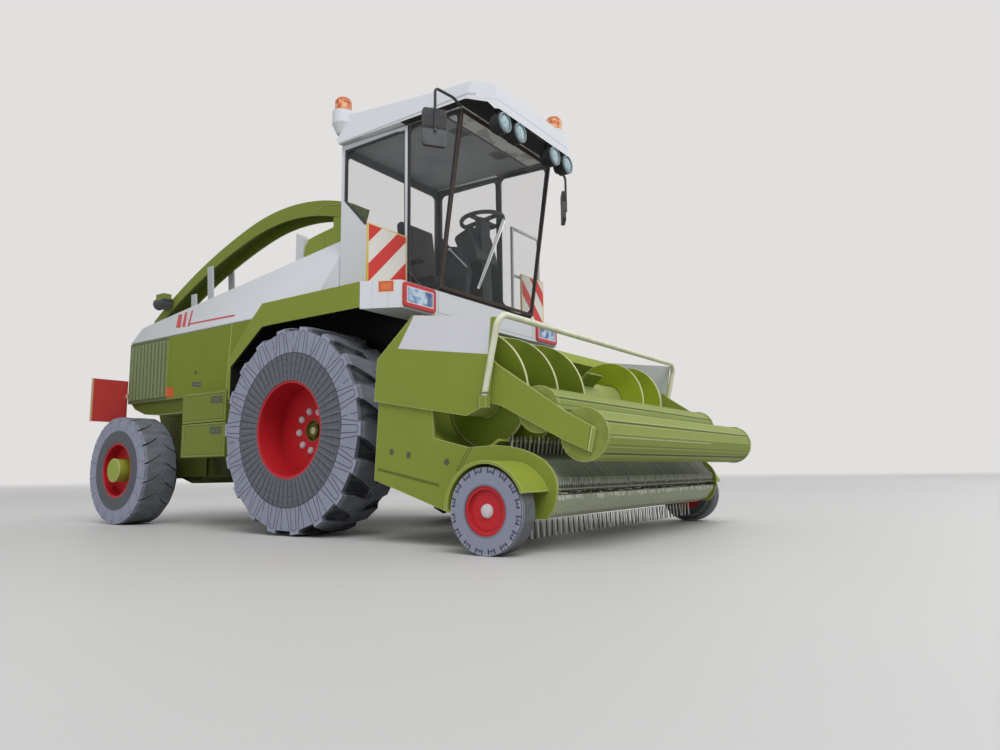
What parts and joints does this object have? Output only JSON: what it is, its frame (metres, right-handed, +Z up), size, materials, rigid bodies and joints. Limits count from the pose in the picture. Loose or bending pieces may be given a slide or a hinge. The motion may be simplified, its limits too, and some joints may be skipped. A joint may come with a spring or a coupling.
{
  "type": "card model forage harvester",
  "caption": "Small card model of a self-propelled forage harvester with a pick-up header and freely rolling wheels.",
  "frame": {"origin": "middle of the overall length and width, on the ground under the tyres", "axes": "+Z up, +Y towards the rear along the length, so the front faces -Y; +X towards the machine's left side"},
  "size_m": [0.149, 0.3152, 0.1757],
  "materials": {
    "black_card": "matt printed black card",
    "clear_film": "clear plastic film",
    "cream_wire": "wire painted off-white",
    "green_card": "matt printed green card",
    "grey_card": "matt printed grey card",
    "lamp_card": "printed lens on card",
    "orange_card": "orange card drum",
    "red_card": "matt printed red card",
    "steel_wire": "bare thin wire",
    "striped_card": "red and white stripes printed on card",
    "tyre_card": "printed card tyre with cut lugs",
    "white_card": "matt white card"
  },
  "bodies": {
    "machine": {"auger": "green_card", "beacons": "orange_card", "body_shell": "green_card", "cab_floor": "black_card", "cab_rear_wall": "grey_card", "cab_side_left": "white_card", "cab_side_right": "white_card", "chassis_frame": "green_card", "console": "grey_card", "feeder_housing": "green_card", "fender_left": "green_card", "fender_right": "green_card", "flap_drive": "grey_card", "front_axle": "green_card", "front_box": "white_card", "gauge_fender_left": "green_card", "gauge_fender_right": "green_card", "glazing": "clear_film", "handrail": "white_card", "header_rail": "cream_wire", "header_side_left": "green_card", "header_side_right": "green_card", "header_trough": "green_card", "headlights": "lamp_card", "hood": "white_card", "mirrors": "black_card", "pickup_drum": "grey_card", "pickup_tines": "steel_wire", "press_arms": "green_card", "press_rollers": "green_card", "rear_axle": "green_card", "rear_boards": "red_card", "roof": "white_card", "roof_lamps": "lamp_card", "seat": "black_card", "spout": "green_card", "spout_flap": "green_card", "spout_rest": "white_card", "spout_turret": "green_card", "stack": "white_card", "steering_wheel": "black_card", "tool_boxes": "green_card", "warning_boards": "striped_card", "windshield_frame": "black_card", "wiper": "steel_wire"},
    "front_wheel_left": {"front_rim_left": "red_card", "front_tyre_left": "tyre_card"},
    "front_wheel_right": {"front_rim_right": "red_card", "front_tyre_right": "tyre_card"},
    "rear_wheel_left": {"rear_rim_left": "red_card", "rear_tyre_left": "tyre_card"},
    "rear_wheel_right": {"rear_rim_right": "red_card", "rear_tyre_right": "tyre_card"},
    "gauge_wheel_left": {"gauge_rim_left": "red_card", "gauge_tyre_left": "tyre_card"},
    "gauge_wheel_right": {"gauge_rim_right": "red_card", "gauge_tyre_right": "tyre_card"}
  },
  "joints": [
    {"name": "front_wheel_left_spin", "type": "hinge", "parent": "machine", "child": "front_wheel_left", "pos_m": [0.06, -0.03339, 0.0366], "axis": [1, 0, 0], "continuous": true},
    {"name": "front_wheel_right_spin", "type": "hinge", "parent": "machine", "child": "front_wheel_right", "pos_m": [-0.06, -0.03339, 0.0366], "axis": [1, 0, 0], "continuous": true},
    {"name": "rear_wheel_left_spin", "type": "hinge", "parent": "machine", "child": "rear_wheel_left", "pos_m": [0.057, 0.08661, 0.0237], "axis": [1, 0, 0], "continuous": true},
    {"name": "rear_wheel_right_spin", "type": "hinge", "parent": "machine", "child": "rear_wheel_right", "pos_m": [-0.057, 0.08661, 0.0237], "axis": [1, 0, 0], "continuous": true},
    {"name": "gauge_wheel_left_spin", "type": "hinge", "parent": "machine", "child": "gauge_wheel_left", "pos_m": [0.074, -0.12869, 0.0112], "axis": [1, 0, 0], "continuous": true},
    {"name": "gauge_wheel_right_spin", "type": "hinge", "parent": "machine", "child": "gauge_wheel_right", "pos_m": [-0.074, -0.12869, 0.0112], "axis": [1, 0, 0], "continuous": true}
  ]
}
